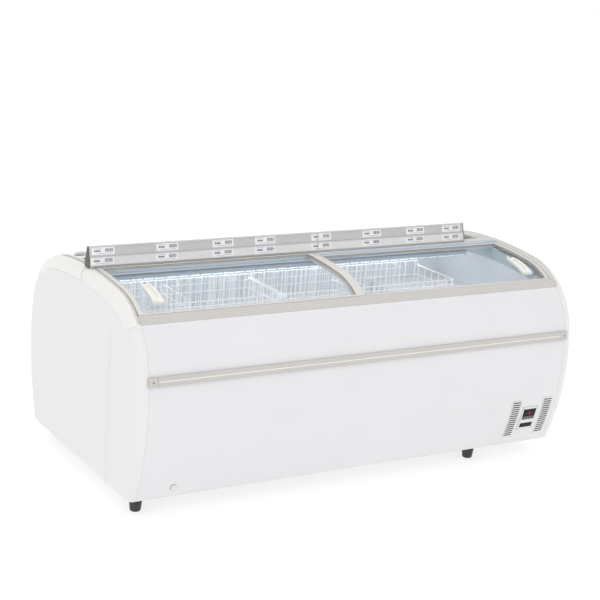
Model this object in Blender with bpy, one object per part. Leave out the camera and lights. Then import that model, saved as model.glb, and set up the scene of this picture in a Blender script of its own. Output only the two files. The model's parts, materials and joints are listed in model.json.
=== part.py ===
"""Double-sided island chest freezer with a barrel-shaped body, sliding curved glass lids, a price rail on the
centre spine, wire baskets and an underslung cooling unit at the right-hand end.

Metres. +X runs along the cabinet to its right-hand end, the front faces -Y, +Z is up and the floor is Z = 0.
"""
import math

import bmesh
import bpy
from mathutils import Matrix, Vector

# ---------------------------------------------------------------- driving dimensions
LENGTH = 2.0
HALF_DEPTH = 0.538
FOOT_HEIGHT = 0.06
BODY_TOP = FOOT_HEIGHT + 0.773
END_X = LENGTH / 2
GAP = 0.0004                       # clearance between neighbouring pieces

# cross-section: a flat belly arc, a shoulder arc and a crown arc, each tangent to the next
BELLY_R = 0.906
BELLY_Z = FOOT_HEIGHT + 0.37
SHOULDER_R = 0.297
CROWN_R = 2.0
CHORD = 0.030                      # facet length along the cross-section

CAP_WIDTH = 0.045                  # end panels and arch mouldings, measured along X
CAP_X = END_X - CAP_WIDTH
PANEL_X = CAP_X - GAP
CAP_ROUND = 0.036
ARCH_ROUND = 0.030
CAP_WALL = 0.004
ARCH_DEPTH = 0.053
SKIN = 0.004

TRIM_LOW = 44.5                    # surface angles, in degrees up from the horizontal
TRIM_TOP = 52.5
UPPER_TRACK_END = 53.8
TRACK_END = 57.0
UPPER_LEDGE = 0.0100               # depths of the two lid tracks below the skin line
LOWER_LEDGE = 0.0220
TRIM_DEPTH = 0.030

SPINE_HALF = 0.040
SPINE_STEP = 0.008
SPINE_BOTTOM = FOOT_HEIGHT + 0.742

TANK_HALF_Y = 0.350
TANK_X = 0.935
TANK_WALL = 0.003
TANK_RIM = FOOT_HEIGHT + 0.680
FOAM_TOP = FOOT_HEIGHT + 0.640
PAN_THICK = 0.004
TANK_FLOOR = FOOT_HEIGHT + 0.100
STEP_X = 0.560
STEP_Z = FOOT_HEIGHT + 0.520

COLOURS = {
    "white_enamel": ((0.87, 0.87, 0.885), 0.32, 0.0),
    "end_plastic": ((0.86, 0.86, 0.86), 0.42, 0.0),
    "arch_plastic": ((0.74, 0.73, 0.71), 0.45, 0.0),
    "trim_plastic": ((0.62, 0.60, 0.57), 0.42, 0.0),
    "bumper_plastic": ((0.56, 0.54, 0.51), 0.45, 0.0),
    "lid_frame": ((0.62, 0.59, 0.52), 0.40, 0.0),
    "lid_glass": ((0.80, 0.90, 0.92), 0.03, 0.0),
    "handle_plastic": ((0.80, 0.79, 0.75), 0.40, 0.0),
    "spine_enamel": ((0.66, 0.72, 0.78), 0.40, 0.0),
    "rail_plastic": ((0.55, 0.55, 0.54), 0.45, 0.0),
    "rail_cap": ((0.12, 0.12, 0.09), 0.50, 0.0),
    "liner_white": ((0.72, 0.80, 0.86), 0.35, 0.0),
    "basket_wire": ((0.85, 0.87, 0.88), 0.35, 0.0),
    "foam": ((0.85, 0.78, 0.55), 0.90, 0.0),
    "led_lens": ((0.90, 0.95, 1.00), 0.25, 0.0),
    "black_plastic": ((0.03, 0.03, 0.033), 0.45, 0.0),
    "grille_plastic": ((0.70, 0.70, 0.71), 0.45, 0.0),
    "display_black": ((0.02, 0.02, 0.025), 0.15, 0.0),
    "zinc_steel": ((0.55, 0.56, 0.58), 0.35, 1.0),
    "fin_aluminium": ((0.75, 0.76, 0.78), 0.30, 1.0),
    "black_steel": ((0.02, 0.02, 0.02), 0.40, 0.0),
}


# ---------------------------------------------------------------- cross-section arcs
def tangent_centre(a, reach_a, b, reach_b):
    """The outer one of the two points at reach_a from a and reach_b from b."""
    span = b - a
    along = (span.length_squared + reach_a ** 2 - reach_b ** 2) / (2 * span.length)
    across = math.sqrt(reach_a ** 2 - along ** 2)
    unit = span.normalized()
    side = Vector((-unit.y, unit.x))
    foot = a + unit * along
    return max(foot + side * across, foot - side * across, key=lambda p: p.x)


BELLY = Vector((HALF_DEPTH - BELLY_R, BELLY_Z))
CROWN = Vector((0.0, BODY_TOP - CROWN_R))
SHOULDER = tangent_centre(BELLY, BELLY_R - SHOULDER_R, CROWN, CROWN_R - SHOULDER_R)
SHOULDER_START = math.degrees(math.atan2(SHOULDER.y - BELLY.y, SHOULDER.x - BELLY.x))
SHOULDER_END = math.degrees(math.atan2(SHOULDER.y - CROWN.y, SHOULDER.x - CROWN.x))


def arc_at(angle):
    """Centre and radius of the arc whose surface faces this angle."""
    if angle < SHOULDER_START:
        return BELLY, BELLY_R
    if angle < SHOULDER_END:
        return SHOULDER, SHOULDER_R
    return CROWN, CROWN_R


def skin(angle, depth=0.0):
    """(y, z) on the cross-section, depth inside the skin, where the surface faces angle."""
    centre, radius = arc_at(angle)
    turn = math.radians(angle)
    return (centre.x + (radius - depth) * math.cos(turn), centre.y + (radius - depth) * math.sin(turn))


def angle_at_height(z, depth=0.0):
    return math.degrees(math.asin((z - BELLY_Z) / (BELLY_R - depth)))


def angle_at_y(y, depth=0.0):
    return math.degrees(math.acos(y / (CROWN_R - depth)))


def sweep(start, end, depth=0.0):
    """Points along the cross-section from one angle to another."""
    stops = [start]
    stops += [a for a in (SHOULDER_START, SHOULDER_END) if start < a < end]
    stops.append(end)
    angles = [start]
    for low, high in zip(stops, stops[1:]):
        radius = arc_at((low + high) / 2)[1]
        count = max(1, round(math.radians(high - low) * radius / CHORD))
        angles += [low + (high - low) * (i + 1) / count for i in range(count)]
    return [skin(a, depth) for a in angles]


def band(start, end, outer, inner):
    """Closed outline of a curved strip between two depths."""
    return sweep(start, end, outer) + sweep(start, end, inner)[::-1]


def mirrored(outline):
    return [(-y, z) for y, z in outline][::-1]


# ---------------------------------------------------------------- modelling helpers
for leftover in list(bpy.data.objects):
    bpy.data.objects.remove(leftover)

PARTS = bpy.data.collections.new("island_freezer")
CUTTERS = bpy.data.collections.new("cutters")
for collection in (PARTS, CUTTERS):
    bpy.context.scene.collection.children.link(collection)


def material(name):
    found = bpy.data.materials.get(name)
    if found:
        return found
    colour, roughness, metallic = COLOURS[name]
    made = bpy.data.materials.new(name)
    made.use_nodes = True
    shader = made.node_tree.nodes["Principled BSDF"]
    shader.inputs["Base Color"].default_value = (*colour, 1.0)
    shader.inputs["Roughness"].default_value = roughness
    shader.inputs["Metallic"].default_value = metallic
    return made


def face_outwards(bm):
    bmesh.ops.recalc_face_normals(bm, faces=bm.faces)
    if bm.calc_volume(signed=True) < 0:
        bmesh.ops.reverse_faces(bm, faces=bm.faces)


def add_mesh(name, bm, slot=None):
    """Object from a bmesh: a part when it has a material slot, otherwise a helper for Boolean modifiers."""
    face_outwards(bm)
    mesh = bpy.data.meshes.new(name)
    bm.to_mesh(mesh)
    bm.free()
    obj = bpy.data.objects.new(name, mesh)
    if slot:
        mesh.materials.append(material(slot))
        PARTS.objects.link(obj)
    else:
        CUTTERS.objects.link(obj)
        obj.hide_render = True
        obj.display_type = "WIRE"
    return obj


def cube_into(bm, low, high):
    low = Vector(low)
    high = Vector(high)
    size = high - low
    place = Matrix.Translation((low + high) / 2) @ Matrix.Diagonal((*size, 1.0))
    bmesh.ops.create_cube(bm, size=1.0, matrix=place)


def boxes(name, corners, slot=None, bevel=0.0):
    """One object of separate boxes, each given by two opposite corners."""
    bm = bmesh.new()
    for low, high in corners:
        cube_into(bm, low, high)
    if bevel:
        bmesh.ops.bevel(bm, geom=bm.edges[:], offset=bevel, segments=2, profile=0.5, affect="EDGES")
    return add_mesh(name, bm, slot)


def cylinder_into(bm, base, tip, radius, tip_radius=None, segments=24):
    base = Vector(base)
    axis = Vector(tip) - base
    turn = axis.to_track_quat("Z", "Y").to_matrix().to_4x4()
    place = Matrix.Translation(base + axis / 2) @ turn
    end_radius = radius if tip_radius is None else tip_radius
    bmesh.ops.create_cone(bm, cap_ends=True, segments=segments, radius1=radius, radius2=end_radius,
                          depth=axis.length, matrix=place)


def cylinders(name, items, slot=None, segments=24):
    """One object of separate cylinders, each (base, tip, radius)."""
    bm = bmesh.new()
    for base, tip, radius in items:
        cylinder_into(bm, base, tip, radius, segments=segments)
    return add_mesh(name, bm, slot)


ALONG_X = Matrix(((0, 0, 1, 0), (1, 0, 0, 0), (0, 1, 0, 0), (0, 0, 0, 1)))
ALONG_Y = Matrix(((1, 0, 0, 0), (0, 0, -1, 0), (0, 1, 0, 0), (0, 0, 0, 1)))


def prism(name, outline, start, end, slot=None, frame=ALONG_X):
    """A flat filled outline extruded between two places: (y, z) along X, or (x, z) along -Y."""
    curve = bpy.data.curves.new(name, "CURVE")
    curve.dimensions = "2D"
    curve.fill_mode = "BOTH"
    curve.extrude = (end - start) / 2
    spline = curve.splines.new("POLY")
    spline.points.add(len(outline) - 1)
    for point, (a, b) in zip(spline.points, outline):
        point.co = (a, b, 0.0, 1.0)
    spline.use_cyclic_u = True
    flat = bpy.data.objects.new(name + "_outline", curve)
    PARTS.objects.link(flat)
    evaluated = flat.evaluated_get(bpy.context.evaluated_depsgraph_get())
    mesh = bpy.data.meshes.new_from_object(evaluated)
    bpy.data.objects.remove(flat)
    bpy.data.curves.remove(curve)
    bm = bmesh.new()
    bm.from_mesh(mesh)
    bpy.data.meshes.remove(mesh)
    bmesh.ops.remove_doubles(bm, verts=bm.verts, dist=1e-6)
    bmesh.ops.dissolve_limit(bm, angle_limit=0.0005, verts=bm.verts, edges=bm.edges)
    bm.transform(Matrix.Translation((0, 0, (start + end) / 2)))
    bm.transform(frame)
    return add_mesh(name, bm, slot)


def boolean(obj, tool, operation):
    step = obj.modifiers.new(operation.lower(), "BOOLEAN")
    step.operation = operation
    step.object = tool
    return obj


def cut(obj, *tools):
    for tool in tools:
        boolean(obj, tool, "DIFFERENCE")
    return obj


def fuse(obj, *tools):
    for tool in tools:
        boolean(obj, tool, "UNION")
    return obj


def on_skin(y, z):
    """True for a point on the cabinet's outer cross-section."""
    angle = math.degrees(math.atan2(z - SHOULDER.y, abs(y) - SHOULDER.x))
    if angle < SHOULDER_START:
        centre, radius = BELLY, BELLY_R
    elif angle < SHOULDER_END:
        centre, radius = SHOULDER, SHOULDER_R
    else:
        centre, radius = CROWN, CROWN_R
    return abs((Vector((abs(y), z)) - centre).length - radius) < 1e-4


def round_outer_end(obj, x, radius, segments=6):
    """Round an extrusion's end at x where it meets the outer skin."""
    bm = bmesh.new()
    bm.from_mesh(obj.data)
    rim = [e for e in bm.edges if all(abs(v.co.x - x) < 1e-5 and on_skin(v.co.y, v.co.z) for v in e.verts)]
    bmesh.ops.bevel(bm, geom=rim, offset=radius, segments=segments, profile=0.5, affect="EDGES",
                    clamp_overlap=True)
    bmesh.ops.remove_doubles(bm, verts=bm.verts, dist=1e-5)
    face_outwards(bm)
    bm.to_mesh(obj.data)
    bm.free()


SIDES = {"front": -1, "rear": 1}
ENDS = {"left": -1, "right": 1}


def on_side(outline, side):
    return outline if SIDES[side] > 0 else mirrored(outline)


def span_x(end, inner, outer):
    """(low, high) along X of something between two distances from the middle, at one end."""
    return (inner, outer) if ENDS[end] > 0 else (-outer, -inner)


# ---------------------------------------------------------------- cooling-unit openings in the front panel
VENT_LOW = FOOT_HEIGHT + 0.038
VENT_HIGH = FOOT_HEIGHT + 0.212
VENT_X = {"left": (0.724, 0.773), "right": (0.887, 0.936)}
VENT_SLATS = 16
BEZEL_X = (0.786, 0.868)
BEZEL_Z = (FOOT_HEIGHT + 0.066, FOOT_HEIGHT + 0.176)
SCREEN_X = (0.794, 0.860)
SCREEN_Z = (FOOT_HEIGHT + 0.117, FOOT_HEIGHT + 0.166)
FACE_CUT_Y = (-0.60, -0.42)


def face_window(name, xs, zs, grow=0.0):
    low = (xs[0] - grow, FACE_CUT_Y[0], zs[0] - grow)
    high = (xs[1] + grow, FACE_CUT_Y[1], zs[1] + grow)
    return boxes(name, [(low, high)])


def face_plate(name, xs, zs, outer, inner, slot):
    """Curved plate lying in the front panel's surface."""
    outline = band(angle_at_height(zs[0] - 0.006), angle_at_height(zs[1] + 0.006), outer, inner)
    plate = prism(name, mirrored(outline), xs[0] - 0.006, xs[1] + 0.006, slot)
    return boolean(plate, face_window(name + "_edges", xs, zs), "INTERSECT")


# ---------------------------------------------------------------- cabinet
def side_panel(side):
    bottom = [skin(angle_at_height(FOOT_HEIGHT, d), d) for d in (0.0, SKIN)]
    start = angle_at_height(FOOT_HEIGHT)
    outline = [bottom[0]] + sweep(start, TRIM_LOW, 0.0)[1:]
    outline += sweep(start, TRIM_LOW, SKIN)[:0:-1] + [bottom[1]]
    panel = prism(side + "_panel", on_side(outline, side), -PANEL_X, PANEL_X, "white_enamel")
    if side == "front":
        for end, xs in VENT_X.items():
            cut(panel, face_window("vent_window_" + end, xs, (VENT_LOW, VENT_HIGH), GAP))
        cut(panel, face_window("bezel_window", BEZEL_X, BEZEL_Z, GAP))
    return panel


def end_outline(wall=0.0):
    """Half of an end panel: up the belly, in along the trim line and back under the arch moulding."""
    start = angle_at_height(FOOT_HEIGHT + wall, wall)
    notch = ARCH_DEPTH + GAP + wall
    return sweep(start, TRIM_LOW - math.degrees(wall / SHOULDER_R), wall) + sweep(TRIM_LOW, 90.0, notch)


def end_panel(end):
    whole = end_outline()
    outline = whole + [(-y, z) for y, z in whole[-2::-1]]
    panel = prism(end + "_end_panel", outline, *span_x(end, CAP_X, END_X), "end_plastic")
    round_outer_end(panel, ENDS[end] * END_X, CAP_ROUND)
    inside = end_outline(CAP_WALL)
    hollow = inside + [(-y, z) for y, z in inside[-2::-1]]
    cut(panel, prism(end + "_end_hollow", hollow, *span_x(end, CAP_X - 0.01, END_X - CAP_ROUND)))
    return panel


def arch_moulding(end, side):
    outline = band(TRIM_LOW, 90.0 - math.degrees(GAP / CROWN_R), 0.0, ARCH_DEPTH)
    name = "{}_{}_moulding".format(end, side)
    moulding = prism(name, on_side(outline, side), *span_x(end, CAP_X, END_X), "arch_plastic")
    round_outer_end(moulding, ENDS[end] * END_X, ARCH_ROUND)
    return moulding


def top_trim(side):
    """Grey trim below the lids, with one ledge for the upper lid's track and one for the lower's."""
    outline = sweep(TRIM_LOW + 0.1, TRIM_TOP, 0.0)
    outline += sweep(TRIM_TOP, UPPER_TRACK_END, UPPER_LEDGE)
    outline += sweep(UPPER_TRACK_END, TRACK_END, LOWER_LEDGE)
    outline += sweep(TRIM_LOW + 0.1, TRACK_END, TRIM_DEPTH)[::-1]
    return prism(side + "_top_trim", on_side(outline, side), -PANEL_X, PANEL_X, "trim_plastic")


def spine_beam():
    """Centre beam between the lid rows, stepped on both sides like the trims."""
    half = [(0.0, skin(90.0)[1])]
    half += [skin(angle_at_y(y, d), d) for y, d in (
        (SPINE_HALF - 2 * SPINE_STEP, 0.0), (SPINE_HALF - 2 * SPINE_STEP, UPPER_LEDGE),
        (SPINE_HALF - SPINE_STEP, UPPER_LEDGE), (SPINE_HALF - SPINE_STEP, LOWER_LEDGE),
        (SPINE_HALF + SPINE_STEP, LOWER_LEDGE), (SPINE_HALF + SPINE_STEP, LOWER_LEDGE + 0.004))]
    half += [(SPINE_HALF - SPINE_STEP, SPINE_BOTTOM)]
    outline = half + [(-y, z) for y, z in half[:0:-1]]
    return prism("spine_beam", outline, -PANEL_X, PANEL_X, "spine_enamel")


def base_pan():
    top = FOOT_HEIGHT + PAN_THICK
    return boxes("base_pan", [((-PANEL_X, -0.450, FOOT_HEIGHT), (PANEL_X, 0.450, top))], "zinc_steel")


def tank_outline(wall, top):
    """(x, z) outline of the tank with its step over the cooling unit."""
    side = TANK_X - wall
    return [(-side, TANK_FLOOR + wall), (STEP_X - wall, TANK_FLOOR + wall), (STEP_X - wall, STEP_Z + wall),
            (side, STEP_Z + wall), (side, top), (-side, top)]


def end_bulkhead_outline():
    """Wall that closes the tank's end up to the arch, lower at the middle to carry the spine."""
    under = ARCH_DEPTH + 2 * GAP
    half = [(TANK_HALF_Y + 0.020, TANK_RIM - 0.002)] + sweep(66.0, angle_at_y(SPINE_HALF + 0.02), under)
    half += [(SPINE_HALF + 0.02, SPINE_BOTTOM - GAP)]
    return half + [(-y, z) for y, z in half[::-1]]


def inner_liner():
    half = TANK_HALF_Y
    liner = prism("inner_liner", tank_outline(0.0, TANK_RIM), -half, half, "liner_white", ALONG_Y)
    reach = half + 0.025
    flange = boxes("liner_flange", [((-PANEL_X, -reach, TANK_RIM - 0.003), (PANEL_X, reach, TANK_RIM))])
    fuse(liner, flange)
    for end in ENDS:
        wall = span_x(end, TANK_X - TANK_WALL, PANEL_X)
        fuse(liner, prism(end + "_bulkhead", end_bulkhead_outline(), *wall))
    inside = half - TANK_WALL
    return cut(liner, prism("liner_space", tank_outline(TANK_WALL, 1.0), -inside, inside, None, ALONG_Y))


def insulation_foam():
    """Foamed-in insulation between the skin and the tank, left out around the cooling unit."""
    depth = SKIN + GAP
    bottom = FOOT_HEIGHT + PAN_THICK + GAP
    top = FOAM_TOP
    half = sweep(angle_at_height(bottom, depth), TRIM_LOW, depth)
    half = [(y, min(z, top)) for y, z in half]
    kept = [p for i, p in enumerate(half) if i == 0 or half[i - 1][1] < top]
    kept[-1] = (kept[-1][0] - 0.001, top)
    outline = kept + [(-y, z) for y, z in kept[::-1]]
    foam = prism("insulation_foam", outline, -TANK_X - 0.012, TANK_X + 0.012, "foam")
    half_y = TANK_HALF_Y + GAP
    tank = prism("foam_tank_space", tank_outline(-GAP, 1.0), -half_y, half_y, None, ALONG_Y)
    unit = boxes("unit_space", [((STEP_X + 0.030, -0.6, 0.0), (1.1, 0.6, STEP_Z - 0.030))])
    return cut(foam, tank, unit)


def bumper(side):
    low = angle_at_height(FOOT_HEIGHT + 0.464)
    high = angle_at_height(FOOT_HEIGHT + 0.499)
    outline = band(low, high, -0.012, -GAP)
    prism(side + "_bumper", on_side(outline, side), -0.9225, 0.9225, "bumper_plastic")
    for end in ENDS:
        name = "{}_{}_bumper_cap".format(side, end)
        cap = on_side(band(low, high, -0.0125, -GAP), side)
        prism(name, cap, *span_x(end, 0.923, 0.960), "bumper_plastic")


# ---------------------------------------------------------------- lighting and price rail
CANOPY_X = (-0.930, 0.790)
RAIL_X = (-0.975, 0.775)
RAIL_FOOT = BODY_TOP + 0.001
RAIL_BASE = BODY_TOP + 0.008
RAIL_TIER = 0.036
RAIL_WALL = 0.003


def light_canopy():
    top = SPINE_BOTTOM - 2 * GAP
    half = [(0.030, top), (0.038, top - 0.010), (0.034, top - 0.022)]
    outline = half + [(-y, z) for y, z in half[::-1]]
    prism("light_canopy", outline, *CANOPY_X, "spine_enamel")
    for side, sign in SIDES.items():
        near = sign * 0.0385
        far = sign * 0.0450
        low = (CANOPY_X[0] + 0.01, min(near, far), top - 0.023)
        high = (CANOPY_X[1] - 0.01, max(near, far), top - 0.013)
        boxes(side + "_led_strip", [(low, high)], "led_lens", 0.001)


def rail_half(wall=0.0):
    """One flank of the price rail: two leaning tiers with a step between them."""
    z = RAIL_BASE
    tiers = [(0.025, z), (0.018, z + RAIL_TIER), (0.014, z + RAIL_TIER), (0.006, z + 2 * RAIL_TIER)]
    feet = [(0.021 - 1.15 * wall, RAIL_FOOT)]
    if not wall:
        feet.append((0.021, z))
    return feet + [(y - 1.15 * wall, h - wall) for y, h in tiers[1 if wall else 0:]]


def price_rail():
    outer = rail_half()
    inner = rail_half(RAIL_WALL)
    inner[-1] = (0.0, outer[-1][1] - 0.006)
    top = outer[-1][1] + 0.002
    outline = outer + [(0.0, top)] + [(-y, z) for y, z in outer[::-1]]
    outline += [(-y, z) for y, z in inner] + inner[-2::-1]
    prism("price_rail", outline, *RAIL_X, "rail_plastic")
    cap = outer + [(0.0, top)] + [(-y, z) for y, z in outer[::-1]]
    for end, start in (("left", RAIL_X[0] - 0.0034), ("right", RAIL_X[1] + GAP)):
        prism(end + "_rail_cap", cap, start, start + 0.003, "rail_cap")


# ---------------------------------------------------------------- sliding lids
END_BAR = 0.018
MEETING_BAR = 0.040                # the upper lid's bar over the middle of the cabinet
FRONT_BAR = 0.007
SPINE_BAR = 0.008
GLASS_HOLD = 0.0048                # how far the glass reaches into the frame's groove
LID_X = {"left": (-0.951, 0.016), "right": (-0.026, 0.951)}
LID_DEPTH = {"left": (-0.0015, UPPER_LEDGE - 0.0006), "right": (UPPER_LEDGE + 0.0006, LOWER_LEDGE - 0.0006)}
LID_START = {"left": TRIM_TOP + 0.15, "right": UPPER_TRACK_END + 0.15}
LID_SPINE_Y = {"left": SPINE_HALF - 2 * SPINE_STEP + 0.001, "right": SPINE_HALF - SPINE_STEP + 0.001}
GLASS_INSET = 0.0035
GLASS_THICK = 0.004
HANDLE_WIDTH = 0.044
HANDLE_REACH = 0.150
HANDLE_STRAIGHT = 0.55             # share of the pull that keeps its full width
HANDLE_X = 0.855


def advance(angle, length):
    """The surface angle reached by going length further up the skin."""
    left_on_shoulder = math.radians(SHOULDER_END - angle) * SHOULDER_R
    if length <= left_on_shoulder:
        return angle + math.degrees(length / SHOULDER_R)
    return SHOULDER_END + math.degrees((length - left_on_shoulder) / CROWN_R)


def lid_handle(name, side, x, outer):
    """Pull along the lid's curve, square at the aisle end, rounded at the spine, with a recess."""
    start = advance(LID_START["right"], 0.036)
    reach = HANDLE_REACH
    end = advance(start, reach)
    blank = prism(name, on_side(band(start, end, outer - 0.011, outer - GAP), side), x - 0.03, x + 0.03,
                  "handle_plastic")
    leaf = []
    steps = 12
    for sign in (1, -1):
        for i in range(steps):
            share = i / steps if sign > 0 else 1 - i / steps
            taper = max(0.0, (share - HANDLE_STRAIGHT) / (1 - HANDLE_STRAIGHT))
            width = HANDLE_WIDTH / 2 * max(0.35, (1 - taper ** 2) ** 0.5)
            y = skin(advance(start, reach * share))[0]
            leaf.append((x + sign * width, SIDES[side] * y))
    if SIDES[side] < 0:
        leaf = leaf[::-1]
    keep = prism(name + "_leaf", leaf, 0.0, 1.0, None, Matrix.Identity(4))
    boolean(blank, keep, "INTERSECT")
    grip = band(advance(start, 0.18 * reach), advance(start, 0.78 * reach), outer - 0.02, outer - 0.0045)
    cut(blank, prism(name + "_grip", on_side(grip, side), x - 0.010, x + 0.010))
    return blank


def lid(side, end):
    name = "{}_{}_lid".format(side, end)
    x0, x1 = LID_X[end]
    outer, inner = LID_DEPTH[end]
    start = LID_START[end]
    stop = angle_at_y(LID_SPINE_Y[end], outer)
    frame = prism(name + "_frame", on_side(band(start, stop, outer, inner), side), x0, x1, "lid_frame")
    open_start = advance(start, FRONT_BAR)
    open_stop = stop - math.degrees(SPINE_BAR / CROWN_R)
    window = band(open_start, open_stop, outer - 0.02, inner + 0.02)
    open_x = (x0 + END_BAR, x1 - (MEETING_BAR if end == "left" else END_BAR))
    cut(frame, prism(name + "_window", on_side(window, side), *open_x))
    for hold, spare, suffix in ((GLASS_HOLD, GAP, "_seat"), (GLASS_HOLD - GAP, 0.0, "_glass")):
        low = open_start - math.degrees(hold / SHOULDER_R)
        high = open_stop + math.degrees(hold / CROWN_R)
        sheet = band(low, high, outer + GLASS_INSET - spare, outer + GLASS_INSET + GLASS_THICK + spare)
        slot = "lid_glass" if suffix == "_glass" else None
        made = prism(name + suffix, on_side(sheet, side), open_x[0] - hold, open_x[1] + hold, slot)
        if not slot:
            cut(frame, made)
    lid_handle(name + "_handle", side, ENDS[end] * HANDLE_X, outer + GLASS_INSET)


# ---------------------------------------------------------------- baskets
BASKET_X = {"left": (-0.925, -0.304), "right": (-0.296, 0.520)}
DIVIDER_X = {"left": -0.690, "right": 0.085}
BASKET_Y = (0.052, 0.318)
BASKET_Z = (FOOT_HEIGHT + 0.360, FOOT_HEIGHT + 0.700)
BASKET_WALL = 0.005
BASKET_BACK = 0.018                # how much higher the wall under the spine is


def basket(side, end):
    """Removable wire basket; its wires are shown here as a thin-walled open box."""
    name = "{}_{}_basket".format(side, end)
    x0, x1 = BASKET_X[end]
    ys = sorted(SIDES[side] * y for y in BASKET_Y)
    shell = boxes(name, [((x0, ys[0], BASKET_Z[0]), (x1, ys[1], BASKET_Z[1]))], "basket_wire")
    w = BASKET_WALL
    space = boxes(name + "_space", [((x0 + w, ys[0] + w, BASKET_Z[0] + w), (x1 - w, ys[1] - w, 1.0))])
    cut(shell, space)
    back = sorted((SIDES[side] * BASKET_Y[0], SIDES[side] * (BASKET_Y[0] + w)))
    wall = ((x0, back[0], BASKET_Z[1] - w), (x1, back[1], BASKET_Z[1] + BASKET_BACK))
    return fuse(shell, boxes(name + "_back", [wall]))


def divider(side, end):
    x = DIVIDER_X[end]
    ys = sorted(SIDES[side] * y for y in (BASKET_Y[0] + 0.007, BASKET_Y[1] - 0.007))
    low = (x - 0.0025, ys[0], BASKET_Z[0] + BASKET_WALL + 0.001)
    high = (x + 0.0025, ys[1], BASKET_Z[1] + 0.006)
    boxes("{}_{}_divider".format(side, end), [(low, high)], "basket_wire")


# ---------------------------------------------------------------- cooling unit
PAN_TOP = FOOT_HEIGHT + PAN_THICK + GAP
FAN_X = 0.760
FAN_Z = FOOT_HEIGHT + 0.165
FAN_Y = -0.300
FAN_R = 0.100


def compressor():
    bm = bmesh.new()
    centre = (0.760, 0.120)
    levels = ((0.000, 0.070), (0.030, 0.092), (0.130, 0.092), (0.185, 0.075), (0.215, 0.030))
    feet = PAN_TOP + 0.020
    for (low, r0), (high, r1) in zip(levels, levels[1:]):
        cylinder_into(bm, (*centre, feet + low), (*centre, feet + high), r0, r1, 32)
    bmesh.ops.remove_doubles(bm, verts=bm.verts, dist=1e-5)
    inner = [f for f in bm.faces
             if abs(f.normal.z) > 0.99 and feet + 0.001 < f.calc_center_median().z < feet + 0.21]
    bmesh.ops.delete(bm, geom=inner, context="FACES")
    pot = add_mesh("compressor", bm, "black_steel")
    plate = boxes("compressor_plate", [((0.650, 0.010, PAN_TOP), (0.870, 0.230, PAN_TOP + 0.022))])
    return fuse(pot, plate)


def condenser():
    core = ((0.610, -0.400, PAN_TOP), (0.910, -0.345, FOOT_HEIGHT + 0.300))
    box = boxes("condenser", [core], "fin_aluminium")
    slots = []
    for i in range(14):
        x = 0.626 + i * 0.0205
        slots.append(((x, -0.42, PAN_TOP + 0.018), (x + 0.0105, -0.33, FOOT_HEIGHT + 0.285)))
    return cut(box, boxes("condenser_slots", slots))


def fan():
    back = FAN_Y + 0.018
    plate = ((0.640, FAN_Y - 0.018, PAN_TOP), (0.880, back, FOOT_HEIGHT + 0.290))
    shroud = boxes("fan_shroud", [plate], "zinc_steel")
    hole = cylinders("fan_hole", [((FAN_X, -0.4, FAN_Z), (FAN_X, -0.2, FAN_Z), FAN_R + 0.006)], segments=48)
    cut(shroud, hole)
    can = ((FAN_X, back + 0.004, FAN_Z), (FAN_X, back + 0.075, FAN_Z), 0.036)
    motor = cylinders("fan_motor", [can], segments=32)
    arms = [((FAN_X - 0.112, back - 0.002, FAN_Z - 0.008), (FAN_X + 0.112, back + 0.010, FAN_Z + 0.008))]
    fuse(shroud, boxes("fan_arms", arms), motor)
    boss = ((FAN_X, FAN_Y - 0.012, FAN_Z), (FAN_X, back - 0.004, FAN_Z), 0.024)
    hub = cylinders("fan_blade", [boss], "grille_plastic")
    vanes = bmesh.new()
    for i in range(5):
        blade = bmesh.ops.create_cube(vanes, size=1.0)["verts"]
        bmesh.ops.scale(vanes, verts=blade, vec=(0.046, 0.002, FAN_R - 0.018))
        bmesh.ops.translate(vanes, verts=blade, vec=(0, 0, (FAN_R + 0.018) / 2))
        pitch = Matrix.Rotation(math.radians(24), 4, "Z")
        bmesh.ops.transform(vanes, verts=blade, matrix=Matrix.Rotation(i * math.tau / 5, 4, "Y") @ pitch)
    vanes.transform(Matrix.Translation((FAN_X, FAN_Y, FAN_Z)))
    fuse(hub, add_mesh("fan_vanes", vanes))
    for moving in (hub, bpy.data.objects["fan_vanes"]):
        moving.data.transform(Matrix.Translation((-FAN_X, -FAN_Y, -FAN_Z)))
        moving.location = (FAN_X, FAN_Y, FAN_Z)


def controls():
    bezel = face_plate("control_bezel", BEZEL_X, BEZEL_Z, -0.0025, 0.0035, "grille_plastic")
    cut(bezel, face_window("screen_window", SCREEN_X, SCREEN_Z, GAP))
    face_plate("control_display", SCREEN_X, SCREEN_Z, -0.0012, 0.0030, "display_black")


def vent_grilles():
    pitch = (VENT_HIGH - VENT_LOW - 0.008) / VENT_SLATS
    for name, (x0, x1) in VENT_X.items():
        heights = (VENT_LOW, VENT_HIGH)
        grille = face_plate(name + "_vent_grille", (x0, x1), heights, -0.0015, 0.0035, "grille_plastic")
        slots = []
        for i in range(VENT_SLATS):
            z = VENT_LOW + 0.004 + (i + 0.5) * pitch
            slots.append(((x0 + 0.004, FACE_CUT_Y[0], z - 0.0027), (x1 - 0.004, FACE_CUT_Y[1], z + 0.0027)))
        cut(grille, boxes(name + "_vent_slots", slots))


# ---------------------------------------------------------------- small fittings
FEET = {"front": {"left": -0.925, "right": 0.610}, "rear": {"left": -0.865, "right": 0.610}}
FOOT_Y = 0.400


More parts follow.
